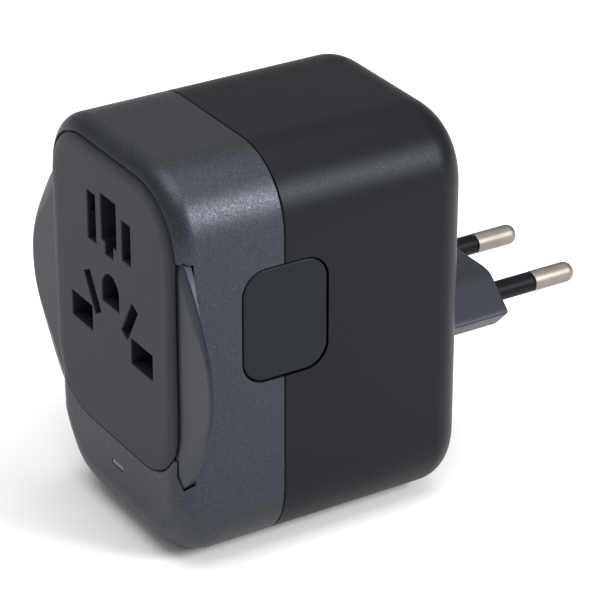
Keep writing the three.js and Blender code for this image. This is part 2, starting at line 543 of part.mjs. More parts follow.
// ------------------------------------------------------------ US carriage
const usPlate = less(
  box(-10.6, 10.6, 36.6, 40.6, 46.2, 57.8),
  cylY(-US_X, USP_Z, 3.3, 37.4, 42, 20), cylY(US_X, USP_Z, 3.3, 37.4, 42, 20));
add('us_plug_plate', usPlate, M.inner);
for (const s of [-1, 1]) {
  const x = s * US_X;
  const o = [[-0.75, -3.15], [0.75, -3.15], [0.75, 3.15], [-0.75, 3.15]];
  const ring = (k, y) => o.map(([a, b]) => [x + a * (1 - 0.45 * k), y, USP_Z + b * (1 - 0.22 * k)]);
  add(s < 0 ? 'us_neutral_blade' : 'us_line_blade', union(
    loft([ring(0, 40.2), ring(0, 58.6), ring(1, 60.2)]),
    cylY(x, USP_Z, 3.0, 37.7, 41.2, 20)), M.nickel);
}
add('us_slide_knob', knob(33, 52.0, [box(-25, -10.9, 31.2, 34.8, 50.2, 53.8), box(-13.1, -10.9, 31.2, 40.4, 50.2, 53.8)]), M.button);

// --------------------------------------------------------- release button
const btn = union(
  prismX(roundRectShape(BTN_Y0, BTN_Y1, BTN_Z0, BTN_Z1, BTN_CR), 22.0, HALF_W - 0.05),
  prismX(roundRectShape(BTN_Y0 - 1.1, BTN_Y1 + 1.1, BTN_Z0 - 1.1, BTN_Z1 + 1.1, BTN_CR + 1), 20.7, 22.25));
add('release_button', btn, M.button);
add('latch_plate', less(box(18.9, 20.4, 17.2, 29.2, 27.0, 58.0), box(18, 21, 24, 30, 26, 42), box(18, 21, 24, 30, 52, 59)), M.steel);
add('button_spring', solid(coil(3.5, 1.9, 0.28, 6.2, 8).rotateY(Math.PI / 2).translate(12.35, 26.6, 47.0)), M.steel);

// ------------------------------------------------------------ electronics
add('main_board', box(-15, 15, 23.5, 57.3, 16.0, 17.4), M.board);
const usbOuter = roundRectShape(-6.55, 6.55, 31.0, 36.6, 0.5, 2);
const usbInner = roundRectShape(-6.2, 6.2, 31.35, 36.25, 0.3, 2);
add('usb_a_port', less(prismZ(usbOuter, 0.0, 15.7), prismZ(usbInner, -1, 14.9)), M.nickel);
add('usb_a_tongue', box(-5.5, 5.5, 34.0, 35.8, 2.2, 14.6), M.light);
[41.8, 47.6].forEach((y, i) => add(`usb_c_port_${i + 1}`, union(
  less(prismZ(stadium(4.5, 1.62, y), 0.0, 15.7), prismZ(stadium(4.2, 1.32, y), -1, 14.6)),
  box(-3.3, 3.3, y - 0.35, y + 0.35, 2.0, 15.0)), M.nickel));
add('transformer', union(box(-6.5, 6.5, 50.2, 57.0, 6.0, 13.6), box(-4.8, 4.8, 49.9, 57.3, 4.4, 15.7)), M.tape);
add('capacitor_1', latheZ([[0, 4.4], [2.6, 4.4], [2.8, 4.7], [2.8, 14.4], [2.5, 14.7], [2.8, 15.0], [2.8, 15.7], [0, 15.7]], -8.4, 27, 16), M.sleeve);
add('capacitor_2', latheZ([[0, 4.4], [2.6, 4.4], [2.8, 4.7], [2.8, 14.4], [2.5, 14.7], [2.8, 15.0], [2.8, 15.7], [0, 15.7]], 8.4, 27, 16), M.sleeve);
add('fuse', latheZ([[0, 2.8], [2.6, 2.8], [2.6, 7.8], [2.35, 7.8], [2.35, 17.0], [2.6, 17.0], [2.6, 22.4], [0, 22.4]], -5.5, 14.6, 16), M.nickel);
add('fuse_cap', less(latheZ([[0, -0.4], [3.5, -0.4], [3.8, -0.1], [3.8, 2.4], [0, 2.4]], -5.5, 14.6, 24),
  box(-8.3, -2.7, 14.05, 15.15, -1, 1.1)), M.shellGrey);
add('led_light_pipe', prismY(capsule(2.2, 0.55), FRONT_Y + 0.02, 7.5), M.led);
add('status_led', box(LED[0] - 0.9, LED[0] + 0.9, 7.8, 9.2, LED[1] - 0.7, LED[1] + 0.7), M.light);
add('led_board', box(-6.5, 6.5, 9.5, 10.5, 8.0, 15.6), M.board);

export default root;
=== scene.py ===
import math

import bmesh
import bpy
from mathutils import Matrix, Vector


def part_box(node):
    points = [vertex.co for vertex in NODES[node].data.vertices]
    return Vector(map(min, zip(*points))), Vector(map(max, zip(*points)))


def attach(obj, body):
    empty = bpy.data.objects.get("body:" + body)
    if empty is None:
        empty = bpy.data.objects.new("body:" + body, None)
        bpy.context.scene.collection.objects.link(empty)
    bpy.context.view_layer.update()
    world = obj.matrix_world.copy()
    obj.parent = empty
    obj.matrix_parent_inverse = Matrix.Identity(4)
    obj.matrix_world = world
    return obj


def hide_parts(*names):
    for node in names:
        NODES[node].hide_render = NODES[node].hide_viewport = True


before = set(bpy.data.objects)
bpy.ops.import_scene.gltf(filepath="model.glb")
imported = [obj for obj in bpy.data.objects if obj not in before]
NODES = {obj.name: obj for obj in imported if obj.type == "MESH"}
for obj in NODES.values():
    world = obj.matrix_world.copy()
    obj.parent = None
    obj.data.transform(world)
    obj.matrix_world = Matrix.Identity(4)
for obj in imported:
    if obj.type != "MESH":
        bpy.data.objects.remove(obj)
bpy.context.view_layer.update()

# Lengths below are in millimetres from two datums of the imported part: Y from
# the socket face, Z from a height 0.8 mm above the underside.
FOOT_Z = -0.8
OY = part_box("front_panel")[0][1] * 1000
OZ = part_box("front_shell")[0][2] * 1000 - FOOT_Z
HALF_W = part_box("rear_shell")[1][0] * 1000
BODY_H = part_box("rear_shell")[1][2] * 1000 - OZ
REAR_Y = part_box("rear_shell")[1][1] * 1000 - OY
SEAM_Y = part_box("rear_shell")[0][1] * 1000 - OY
FRONT_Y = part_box("front_shell")[0][1] * 1000 - OY
PANEL_HALF_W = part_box("front_panel")[1][0] * 1000
PANEL_Z0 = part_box("front_panel")[0][2] * 1000 - OZ
PANEL_Z1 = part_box("front_panel")[1][2] * 1000 - OZ
HUB_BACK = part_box("front_panel")[1][1] * 1000 - OY
_w0, _w1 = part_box("selector_wheel")
WHEEL_R = (_w1[2] - _w0[2]) * 500
EAR, EAR_DEG = _w1[0] * 1000 - WHEEL_R, 34.0
EAR_RIM, RIM_SLOPE, RIM_DROP = 0.7, 2.6, 0.7
WHEEL_Z = (_w1[2] + _w0[2]) * 500 - OZ
WHEEL_Y0 = _w0[1] * 1000 - OY
WHEEL_Y1 = _w1[1] * 1000 - OY
EU_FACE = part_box("eu_plug_block")[1][1] * 1000 - OY
TIP_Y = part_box("eu_pin_right")[1][1] * 1000 - OY
_p0, _p1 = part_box("eu_pin_right")
EU_X = (_p0[0] + _p1[0]) * 500
EU_Z = (_p0[2] + _p1[2]) * 500 - OZ
_b0, _b1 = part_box("release_button")
CORNER, CORNER_N, WALL = 14.5, 2.25, 1.8
FILLET_SIDE, FILLET_FOOT, FILLET_REAR = 3.8, 8.6, 6.7
FRONT_WALL_BACK, REAR_WALL_FRONT = 5.15, 58.7
PANEL_T, HUB_R, KEY_R, KEY_HALF, WHEEL_BORE, TURN = 0.9, 21.0, 25.9, 20.5, 21.3, 10.0
US_Z, US_X, UK_X, UK_Z, EARTH_Z, GROUND_Z = 59.44, 6.35, 11.11, 38.77, 61.0, 47.44
AU_X, AU_Z, AU_TILT = 6.86, 44.39, 30
UKP_Z, UKP_EARTH_Z, USP_Z = 39.9, 62.13, 52.0
BTN = (12.9, 30.0, 35.9, 57.5, 4.5)
LED = (0.3, 11.9)
POSTS = [(-13.8, 68.7), (13.8, 68.7), (-13.8, 7.2), (13.8, 7.2)]


def at(x, y, z):
    return Vector((x / 1000, (y + OY) / 1000, (z + OZ) / 1000))


def smooth(a, b, v):
    t = min(1.0, max(0.0, (v - a) / (b - a)))
    return t * t * (3 - 2 * t)


# ------------------------------------------------------------------ meshes
def make(name, verts, faces):
    me = bpy.data.meshes.new(name)
    me.from_pydata([at(*v) for v in verts], [], faces)
    me.update()
    bm = bmesh.new()
    bm.from_mesh(me)
    bmesh.ops.remove_doubles(bm, verts=bm.verts, dist=1e-8)
    bmesh.ops.recalc_face_normals(bm, faces=bm.faces)
    bm.to_mesh(me)
    bm.free()
    ob = bpy.data.objects.new(name, me)
    bpy.context.scene.collection.objects.link(ob)
    return ob


def loft(name, rings, closed=False):
    """Rings of (x, y, z), one behind the other, capped at both ends or closed on themselves."""
    n = len(rings[0])
    verts = [p for r in rings for p in r]
    faces = []
    last = len(rings) if closed else len(rings) - 1
    for k in range(last):
        a, b = k * n, ((k + 1) % len(rings)) * n
        for i in range(n):
            j = (i + 1) % n
            faces.append((a + i, a + j, b + j, b + i))
    if not closed:
        faces.append(tuple(range(n)))
        faces.append(tuple(range((len(rings) - 1) * n, len(rings) * n)))
    return make(name, verts, faces)


def soft_rect(half_w, z0, z1, ex, n, seg):
    out = []
    for c in range(4):
        sx = 1 if c in (0, 3) else -1
        sz = 1 if c < 2 else -1
        for i in range(seg + 1):
            f = i / seg if c % 2 == 0 else 1 - i / seg
            t = f * math.pi / 2
            u = 0.0 if f == 1 else math.cos(t) ** (2 / n)
            v = 0.0 if f == 0 else math.sin(t) ** (2 / n)
            nu = 0.0 if f == 1 else u ** (n - 1)
            nv = 0.0 if f == 0 else v ** (n - 1)
            length = math.hypot(nu, nv)
            out.append((
                sx * (half_w - ex + ex * u),
                z1 - ex + ex * v if sz > 0 else z0 + ex - ex * v,
                sx * nu / length,
                sz * nv / length,
            ))
    return out


def inset(outline, d, y):
    out = []
    for q in outline:
        dd = d(q) if callable(d) else d
        yy = y(q) if callable(y) else y
        out.append((q[0] - q[2] * dd, yy, q[1] - q[3] * dd))
    return out


def prism_y(name, pts, y0, y1):
    return loft(name, [[(x, y0, z) for x, z in pts], [(x, y1, z) for x, z in pts]])


def prism_x(name, pts, x0, x1):
    return loft(name, [[(x0, y, z) for y, z in pts], [(x1, y, z) for y, z in pts]])


def prism_z(name, pts, z0, z1):
    return loft(name, [[(x, y, z0) for x, y in pts], [(x, y, z1) for x, y in pts]])


def box(name, x0, x1, y0, y1, z0, z1):
    return prism_y(name, [(x0, z0), (x1, z0), (x1, z1), (x0, z1)], y0, y1)


def round_rect(x0, x1, z0, z1, r, seg=10):
    pts = []
    for cx, cz, a in ((x1 - r, z1 - r, 0), (x0 + r, z1 - r, 90), (x0 + r, z0 + r, 180), (x1 - r, z0 + r, 270)):
        for i in range(seg + 1):
            t = math.radians(a + 90 * i / seg)
            pts.append((cx + r * math.cos(t), cz + r * math.sin(t)))
    return pts


def circle(x, z, r, seg=64):
    return [(x + r * math.cos(2 * math.pi * i / seg), z + r * math.sin(2 * math.pi * i / seg)) for i in range(seg)]


def sector(r0, r1, a0, a1, steps):
    def p(r, a):
        return r * math.sin(math.radians(a)), WHEEL_Z + r * math.cos(math.radians(a))
    pts = [p(r1, a0 + (a1 - a0) * i / steps) for i in range(steps + 1)]
    pts += [p(r0, a1 - (a1 - a0) * i / steps) for i in range(steps + 1)] if r0 > 0 else [(0.0, WHEEL_Z)]
    return pts


def lathe_y(name, profile, x, z, seg=64):
    rings = []
    for r, y in profile:
        rr = max(r, 1e-4)
        rings.append([(x + rr * math.cos(2 * math.pi * i / seg), y, z + rr * math.sin(2 * math.pi * i / seg)) for i in range(seg)])
    return loft(name, rings)


def lathe_z(name, profile, x, y, seg=48):
    rings = []
    for r, z in profile:
        rr = max(r, 1e-4)
        rings.append([(x + rr * math.cos(2 * math.pi * i / seg), y + rr * math.sin(2 * math.pi * i / seg), z) for i in range(seg)])
    return loft(name, rings)


def flared(name, pts, y0, y1, flare=0.16):
    """A cutter whose mouth widens just at the front face, which leaves a small chamfer round the hole."""
    n = len(pts)
    area = sum(pts[i][0] * pts[(i + 1) % n][1] - pts[(i + 1) % n][0] * pts[i][1] for i in range(n))
    s = 1 if area > 0 else -1

    def grown(d):
        out = []
        for i in range(n):
            (ax, az), (bx, bz), (cx, cz) = pts[i - 1], pts[i], pts[(i + 1) % n]
            e1 = Vector((bz - az, -(bx - ax))).normalized() * s
            e2 = Vector((cz - bz, -(cx - bx))).normalized() * s
            m = (e1 + e2)
            m = m / max(m.dot(m) / 2, 0.35)
            out.append((bx + m.x * d, bz + m.y * d))
        return out
    wide = grown(flare)
    return loft(name, [[(x, y0 - 1.0, z) for x, z in grown(flare + 1.0 - 0.0)],
                       [(x, y0, z) for x, z in wide],
                       [(x, y0 + flare * 0.45, z) for x, z in grown(flare * 0.35)],
                       [(x, y0 + flare, z) for x, z in pts],
                       [(x, y1, z) for x, z in pts]])


def boolean(ob, op, *others):
    """Adds or cuts with other objects, which are then gone."""
    for o in others:
        m = ob.modifiers.new("b", "BOOLEAN")
        m.operation = op
        m.object = o
        try:
            m.solver = "MANIFOLD"
        except TypeError:
            m.solver = "EXACT"
        bake(ob)
        bpy.data.objects.remove(o)
    return ob


def cut(ob, *others):
    return boolean(ob, "DIFFERENCE", *others)


def join(ob, *others):
    return boolean(ob, "UNION", *others)


def bake(ob):
    dg = bpy.context.evaluated_depsgraph_get()
    me = bpy.data.meshes.new_from_object(ob.evaluated_get(dg))
    ob.modifiers.clear()
    old = ob.data
    ob.data = me
    bpy.data.meshes.remove(old)


def shade(ob, angle=28, weighted=True):
    me = ob.data
    bm = bmesh.new()
    bm.from_mesh(me)
    bmesh.ops.remove_doubles(bm, verts=bm.verts, dist=2e-7)
    bmesh.ops.dissolve_degenerate(bm, edges=bm.edges, dist=1e-8)
    for f in bm.faces:
        f.smooth = True
    lim = math.radians(angle)
    for e in bm.edges:
        e.smooth = not (len(e.link_faces) == 2 and e.calc_face_angle(0) > lim)
    bm.to_mesh(me)
    bm.free()
    if weighted:
        m = ob.modifiers.new("normals", "WEIGHTED_NORMAL")
        m.keep_sharp = True
        m.weight = 80
    return ob


# --------------------------------------------------------------- materials
def rgb(r, g, b):
    def lin(v):
        v /= 255
        return v / 12.92 if v <= 0.04045 else ((v + 0.055) / 1.055) ** 2.4
    return (lin(r), lin(g), lin(b), 1.0)


def scaled(c, k):
    return (c[0] * k, c[1] * k, c[2] * k, 1.0)


class Nodes:
    def __init__(self, name):
        self.m = bpy.data.materials.new(name)
        self.m.use_nodes = True
        self.t = self.m.node_tree
        self.b = self.t.nodes["Principled BSDF"]
        self.c = self.t.nodes.new("ShaderNodeTexCoord").outputs["Object"]

    def node(self, kind, **sockets):
        n = self.t.nodes.new(kind)
        for k, v in sockets.items():
            if k.startswith("_"):
                setattr(n, k[1:], v)
            else:
                self.to(n.inputs[k.replace("__", " ")], v)
        return n

    def to(self, socket, v):
        if isinstance(v, bpy.types.NodeSocket):
            self.t.links.new(v, socket)
        else:
            socket.default_value = v

    def noise(self, scale, detail=3.0, rough=0.5):
        return self.node("ShaderNodeTexNoise", Vector=self.c, Scale=scale, Detail=detail, Roughness=rough).outputs["Fac"]

    def cells(self, scale):
        return self.node("ShaderNodeTexVoronoi", Vector=self.c, Scale=scale).outputs

    def span(self, fac, lo, hi, a=0.0, b=1.0):
        n = self.node("ShaderNodeMapRange", Value=fac)
        n.inputs["From Min"].default_value, n.inputs["From Max"].default_value = a, b
        n.inputs["To Min"].default_value, n.inputs["To Max"].default_value = lo, hi
        return n.outputs["Result"]

    def ramp(self, fac, stops):
        n = self.node("ShaderNodeValToRGB", Fac=fac)
        e = n.color_ramp.elements
        while len(e) < len(stops):
            e.new(0.5)
        for el, (p, c) in zip(e, stops):
            el.position, el.color = p, c
        return n.outputs["Color"]

    def bump(self, height, strength, distance, normal=None):
        n = self.node("ShaderNodeBump", Height=height, Strength=strength, Distance=distance)
        if normal is not None:
            self.t.links.new(normal, n.inputs["Normal"])
        return n.outputs["Normal"]

    def math(self, op, a, b):
        n = self.t.nodes.new("ShaderNodeMath")
        n.operation = op
        self.to(n.inputs[0], a)
        self.to(n.inputs[1], b)
        return n.outputs[0]


def plastic(name, colour, rough, grain=2600.0, bump=0.12, vary=0.10, spec=0.5, coat=0.0):
    """Moulded plastic: fine spark-eroded texture, slight mottling of colour and gloss."""
    k = Nodes(name)
    fine = k.noise(grain, 4.0, 0.6)
    broad = k.noise(55.0, 3.0, 0.5)
    mix = k.math("ADD", k.math("MULTIPLY", fine, 0.5), k.math("MULTIPLY", broad, 0.5))
    k.to(k.b.inputs["Base Color"], k.ramp(mix, [(0.25, scaled(colour, 1 - vary)), (0.75, scaled(colour, 1 + vary))]))
    k.to(k.b.inputs["Roughness"], k.span(fine, rough - 0.05, rough + 0.06, 0.3, 0.7))
    k.b.inputs["Specular IOR Level"].default_value = spec
    k.b.inputs["Specular Tint"].default_value = (0.84, 0.91, 1.0, 1.0)
    if coat:
        k.b.inputs["Coat Weight"].default_value = coat
        k.b.inputs["Coat Roughness"].default_value = 0.3
    k.to(k.b.inputs["Normal"], k.bump(fine, bump, 0.00003))
    return k.m


def speckle_paint(name, colour, rough, metallic=0.75):
    """Metallic paint: fine flakes that differ in brightness and in tilt."""
    k = Nodes(name)
    flake = k.cells(4200.0)
    finer = k.cells(7800.0)
    grain = k.noise(2300.0, 2.0, 0.6)
    sep = k.node("ShaderNodeSeparateColor", Color=flake["Color"])
    sep2 = k.node("ShaderNodeSeparateColor", Color=finer["Color"])
    val = k.math("ADD", k.math("MULTIPLY", sep.outputs[0], 0.45), k.math("MULTIPLY", sep2.outputs[0], 0.35))
    val = k.math("ADD", val, k.math("MULTIPLY", grain, 0.2))
    k.to(k.b.inputs["Base Color"], k.ramp(val, [
        (0.12, scaled(colour, 0.70)), (0.5, scaled(colour, 0.98)), (0.78, scaled(colour, 1.25)), (0.95, scaled(colour, 1.9))]))
    k.b.inputs["Metallic"].default_value = metallic
    k.to(k.b.inputs["Roughness"], k.span(sep.outputs[1], rough - 0.07, rough + 0.07))
    tilt = k.bump(sep.outputs[2], 0.20, 0.00003)
    k.to(k.b.inputs["Normal"], k.bump(sep2.outputs[1], 0.14, 0.00002, tilt))
    return k.m


def metal(name, colour, rough, along="Y", streak=0.10):
    """Plated metal with fine drawing marks along one direction."""
    k = Nodes(name)
    s = {"X": (60, 2600, 2600), "Y": (2600, 60, 2600), "Z": (2600, 2600, 60)}[along]
    m = k.node("ShaderNodeMapping", Vector=k.c)
    m.inputs["Scale"].default_value = s
    n = k.node("ShaderNodeTexNoise", Vector=m.outputs[0], Scale=1.0, Detail=3.0)
    dull = k.noise(420.0, 3.0)
    k.to(k.b.inputs["Base Color"], k.ramp(dull, [(0.3, scaled(colour, 0.90)), (0.7, scaled(colour, 1.06))]))
    k.b.inputs["Metallic"].default_value = 1.0
    k.to(k.b.inputs["Roughness"], k.span(n.outputs["Fac"], rough - streak * 0.5, rough + streak, 0.3, 0.7))
    k.to(k.b.inputs["Normal"], k.bump(n.outputs["Fac"], 0.10, 0.00002))
    return k.m


def board(name):
    """Solder mask over copper tracks."""
    k = Nodes(name)
    m = k.node("ShaderNodeMapping", Vector=k.c)
    m.inputs["Scale"].default_value = (700, 700, 700)
    c = k.node("ShaderNodeTexVoronoi", Vector=m.outputs[0], Scale=1.0, _distance="CHEBYCHEV").outputs["Distance"]
    k.to(k.b.inputs["Base Color"], k.ramp(c, [(0.30, rgb(30, 96, 52)), (0.42, rgb(14, 62, 32))]))
    k.b.inputs["Roughness"].default_value = 0.35
    k.to(k.b.inputs["Normal"], k.bump(c, 0.3, 0.00004))
    return k.m


SHELL = speckle_paint("front_shell_paint", rgb(53, 56, 62), 0.43, metallic=0.8)
REAR = plastic("rear_shell_plastic", rgb(10, 11, 15), 0.42, grain=3000, bump=0.16, vary=0.08, spec=0.17)
PANEL = plastic("panel_plastic", rgb(30, 33, 39), 0.44, grain=3200, bump=0.08, vary=0.05, spec=0.17)
WHEELM = plastic("wheel_plastic", rgb(40, 43, 50), 0.36, grain=3200, bump=0.08, vary=0.05, spec=0.21)
BUTTON = plastic("button_plastic", rgb(13, 15, 20), 0.52, grain=2600, bump=0.15, vary=0.07, spec=0.2)
PLUG = plastic("plug_plastic", rgb(32, 37, 41), 0.42, grain=1800, bump=0.20, vary=0.10, spec=0.24)
SLEEVE = plastic("sleeve_plastic", rgb(6, 5, 8), 0.45, grain=2600, bump=0.10, vary=0.08, spec=0.12)
INNER = plastic("inner_plastic", rgb(8, 9, 10), 0.6, grain=1500, bump=0.2, vary=0.10, spec=0.12)
LIGHTP = plastic("light_plastic", rgb(205, 205, 200), 0.5, grain=1500, bump=0.1, vary=0.04)
TAPE = plastic("coil_tape", rgb(196, 158, 40), 0.3, grain=900, bump=0.2, vary=0.06)
LEDM = plastic("led_diffuser", rgb(96, 100, 106), 0.35, grain=1500, bump=0.05, vary=0.04, spec=0.3)
NICKEL = metal("nickel_pins", rgb(132, 126, 120), 0.44, "Y")
NICKEL_Z = metal("nickel_ports", rgb(180, 178, 175), 0.36, "Z")
BRASS = metal("contact_brass", rgb(150, 120, 70), 0.34, "Y")
STEEL = metal("steel_parts", rgb(150, 152, 155), 0.38, "Z")
BOARD = board("board_green")


def finish_piece(ob, material, body, nodes, angle=28, weighted=True):
    shade(ob, angle, weighted)
    ob.data.materials.clear()
    ob.data.materials.append(material)
    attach(ob, body)
    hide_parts(*nodes)
    return ob


# ------------------------------------------------------------ socket holes
def us_hole(x, hw, hz):
    return [(x - hw, US_Z - hz), (x + hw, US_Z - hz), (x + hw, US_Z + hz), (x - hw, US_Z + hz)]


def ground_hole():
    pts = [(-3.1, GROUND_Z - 3.0), (3.1, GROUND_Z - 3.0)]
    for i in range(33):
        t = math.pi * i / 32
        pts.append((3.1 * math.cos(t), GROUND_Z - 0.1 + 3.1 * math.sin(t)))
    return pts


def au_hole(s):
    t = math.radians(AU_TILT)
    ax, az = s * math.sin(t), math.cos(t)
    return [(s * AU_X + a * ax + b * az, AU_Z + a * az - b * ax) for a, b in ((-4, -1.2), (-4, 1.2), (4, 1.2), (4, -1.2))]


EARTH = [(-1.45, EARTH_Z - 6.8), (1.45, EARTH_Z - 6.8), (1.45, EARTH_Z - 4.4), (2.75, EARTH_Z - 4.4),
         (2.75, EARTH_Z + 4.4), (-2.75, EARTH_Z + 4.4), (-2.75, EARTH_Z - 4.4), (-1.45, EARTH_Z - 4.4)]


def uk_hole(s):
    return [(s * UK_X - 3.85, UK_Z - 2.45), (s * UK_X + 3.85, UK_Z - 2.45), (s * UK_X + 3.85, UK_Z + 2.45), (s * UK_X - 3.85, UK_Z + 2.45)]


HOLES = [us_hole(-US_X, 1.5, 4.65), us_hole(US_X, 1.55, 3.8), EARTH, ground_hole(), uk_hole(-1), uk_hole(1), au_hole(-1), au_hole(1)]

# ------------------------------------------------------------------ shells
SEG = 26
OUTLINE = soft_rect(HALF_W, FOOT_Z, BODY_H, CORNER, CORNER_N, SEG)


def front_round(q):
    return FILLET_SIDE + (FILLET_FOOT - FILLET_SIDE) * smooth(22, 4, q[1])


def rings_front():
    rings = []
    n = 14
    for k in range(n + 1):
        a = k / n * math.pi / 2
        rings.append(inset(OUTLINE, lambda q: front_round(q) * (1 - math.sin(a)),
                           lambda q: FRONT_Y + front_round(q) * (1 - math.cos(a))))
    rings.append(inset(OUTLINE, 0, SEAM_Y - 0.42))
    rings.append(inset(OUTLINE, 0.05, SEAM_Y - 0.25))
    rings.append(inset(OUTLINE, 0.16, SEAM_Y - 0.15))
    return rings


def rings_front_inner():
    rings = []
    n = 5
    for k in range(n + 1):
        a = k / n * math.pi / 2
        rings.append(inset(OUTLINE, lambda q: WALL + (1.2 + 2.6 * smooth(22, 4, q[1])) * (1 - math.sin(a)),
                           lambda q: FRONT_WALL_BACK + (1.2 + 2.6 * smooth(22, 4, q[1])) * (1 - math.cos(a))))
    rings.append(inset(OUTLINE, WALL, SEAM_Y + 1))
    return rings


PANEL_OUT = soft_rect(PANEL_HALF_W, PANEL_Z0, PANEL_Z1, 13, 2.3, 24)
KNOB_SLOTS = [(28.2, 32.8, 11.4, 50.3), (38.7, 43.1, 26.7, 54.3), (49.8, 54.2, 30.6, 53.2)]


def knob_cutters():
    out = []
    for z0, z1, y0, y1 in KNOB_SLOTS:
        out.append(prism_x("c", round_rect(y0, y1, z0, z1, 1.1, 5), -27, -20))
    return out


def button_cutter():
    y0, y1, z0, z1, r = BTN
    return prism_x("c", round_rect(y0 - 0.3, y1 + 0.3, z0 - 0.3, z1 + 0.3, r + 0.3, 14), 20, 27)


def capsule(hw, hz, seg=8):
    return round_rect(LED[0] - hw, LED[0] + hw, LED[1] - hz, LED[1] + hz, hz - 0.001, seg)


front_shell = loft("front_shell_visual", rings_front())
cut(front_shell, loft("c", rings_front_inner()))
for x, z in POSTS:
    join(front_shell, prism_y("c", circle(x, z, 2.1, 24), 4.6, 57.0))
cut(front_shell,
    loft("c", [inset(PANEL_OUT, -0.45, FRONT_Y - 1.0), inset(PANEL_OUT, -0.45, FRONT_Y), inset(PANEL_OUT, -0.25, FRONT_Y + 0.2), inset(PANEL_OUT, -0.25, PANEL_T + 0.15)]),
    loft("c", [[(x, WHEEL_Y0 - 0.2, z) for x, z in circle(0, WHEEL_Z, WHEEL_R + 0.4 - RIM_SLOPE, 160)],
               [(x, WHEEL_Y0 - 0.2 + RIM_DROP, z) for x, z in circle(0, WHEEL_Z, WHEEL_R + 0.4, 160)],
               [(x, WHEEL_Y1 + 0.2, z) for x, z in circle(0, WHEEL_Z, WHEEL_R + 0.4, 160)]]),
    box("c", 20.0, 40, -2, WHEEL_Y1 + 0.2, 22.9, 62.1),
    box("c", -40, -20.0, -2, WHEEL_Y1 + 0.2, 22.9, 62.1),
    prism_y("c", circle(0, WHEEL_Z, HUB_R + 0.3, 96), 0.8, 6),
    prism_y("c", sector(0, KEY_R + 0.3, -KEY_HALF - 0.6, KEY_HALF + 0.6, 24), 0.8, 6),
    button_cutter(),
    prism_y("c", capsule(2.32, 0.67), -1, 6),
    prism_z("c", circle(-5.5, 14.6, 4.1, 40), -1.5, 3),
    *knob_cutters())
finish_piece(front_shell, SHELL, "casing", ["front_shell"])


def rings_rear():
    rings = [inset(OUTLINE, 0.16, SEAM_Y), inset(OUTLINE, 0.05, SEAM_Y + 0.1), inset(OUTLINE, 0, SEAM_Y + 0.27)]
    n = 14
    for k in range(n + 1):
        a = k / n * math.pi / 2
        rings.append(inset(OUTLINE, FILLET_REAR * (1 - math.cos(a)), REAR_Y - FILLET_REAR * (1 - math.sin(a))))
    return rings


def rings_rear_inner():
    rings = [inset(OUTLINE, WALL, SEAM_Y - 1)]
    n = 5
    for k in range(n + 1):
        a = k / n * math.pi / 2
        rings.append(inset(OUTLINE, WALL + 5.0 * (1 - math.cos(a)), REAR_WALL_FRONT - 5.0 * (1 - math.sin(a))))
    return rings


EU_HALF = [(7.4, 36.04), (8.4, 35.95), (9.4, 35.75), (10.2, 35.4), (10.9, 34.85), (15.5, 30.7), (15.95, 30.3), (16.1, 30.0), (16.05, 29.7),
           (15.8, 29.4), (12.5, 26.0), (12.1, 25.72), (11.7, 25.55), (11.2, 25.44)]
EU_PTS = [(-x, z) for x, z in EU_HALF] + list(reversed(EU_HALF))


def grown_from(pts, cz, d):
    out = []
    for x, z in pts:
        length = math.hypot(x, z - cz)
        out.append((x + x / length * d, z + (z - cz) / length * d))
    return out


def stadium(hx, hy, y, seg=10):
    return round_rect(-hx, hx, y - hy, y + hy, hy - 0.001, seg)


rear_shell = loft("rear_shell_visual", rings_rear())
cut(rear_shell, loft("c", rings_rear_inner()))
for x, z in POSTS:
    join(rear_shell, prism_y("c", circle(x, z, 2.6, 24), 57.4, 59.2))
cut(rear_shell,
    button_cutter(),
    prism_y("c", grown_from(EU_PTS, 30.7, 0.35), 57, 62),
    box("c", -UK_X - 3.6, -UK_X + 3.6, 57, 62, UKP_Z - 2.4, UKP_Z + 2.4),
    box("c", UK_X - 3.6, UK_X + 3.6, 57, 62, UKP_Z - 2.4, UKP_Z + 2.4),
    box("c", -2.4, 2.4, 57, 62, UKP_EARTH_Z - 4.4, UKP_EARTH_Z + 4.4),
    prism_y("c", circle(-US_X, USP_Z, 3.6, 48), 57, 62),
    prism_y("c", circle(US_X, USP_Z, 3.6, 48), 57, 62),
    prism_z("c", round_rect(-7.0, 7.0, 30.6, 37.0, 0.5, 5), -1.5, 3),
    prism_z("c", stadium(4.9, 1.95, 41.8), -1.5, 3),
    prism_z("c", stadium(4.9, 1.95, 47.6), -1.5, 3),
    *knob_cutters())
for x, z in POSTS:
    cut(rear_shell, lathe_y("c", [(2.7, 61.5), (2.7, REAR_Y + 0.01), (2.4, REAR_Y - 0.3), (2.4, 59.3)], x, z, 40))
    cut(rear_shell, prism_y("c", circle(x, z, 1.2, 24), 57, 60))
finish_piece(rear_shell, REAR, "casing", ["rear_shell"])

# ------------------------------------------------------------ socket panel


def edge_w(q):
    return 0.5 + 2.5 * smooth(17.6, 24, q[1])


def edge_h(q):
    return 0.3 + (PANEL_T - 0.12 - 0.3) * smooth(17.6, 24, q[1])


rings = []
for k in range(11):
    a = k / 10 * math.pi / 2
    rings.append(inset(PANEL_OUT, lambda q: edge_w(q) * (1 - math.sin(a)), lambda q: edge_h(q) * (1 - math.cos(a))))
rings.append(inset(PANEL_OUT, 0, PANEL_T))
panel = loft("front_panel_visual", rings)
join(panel, prism_y("c", circle(0, WHEEL_Z, HUB_R, 96), PANEL_T - 0.3, HUB_BACK),
     prism_y("c", sector(0, KEY_R, -KEY_HALF, KEY_HALF, 24), PANEL_T - 0.3, HUB_BACK))
cut(panel, *[flared("c", pts, -0.001, 6, 0.18) for pts in HOLES])
finish_piece(panel, PANEL, "casing", ["front_panel"])

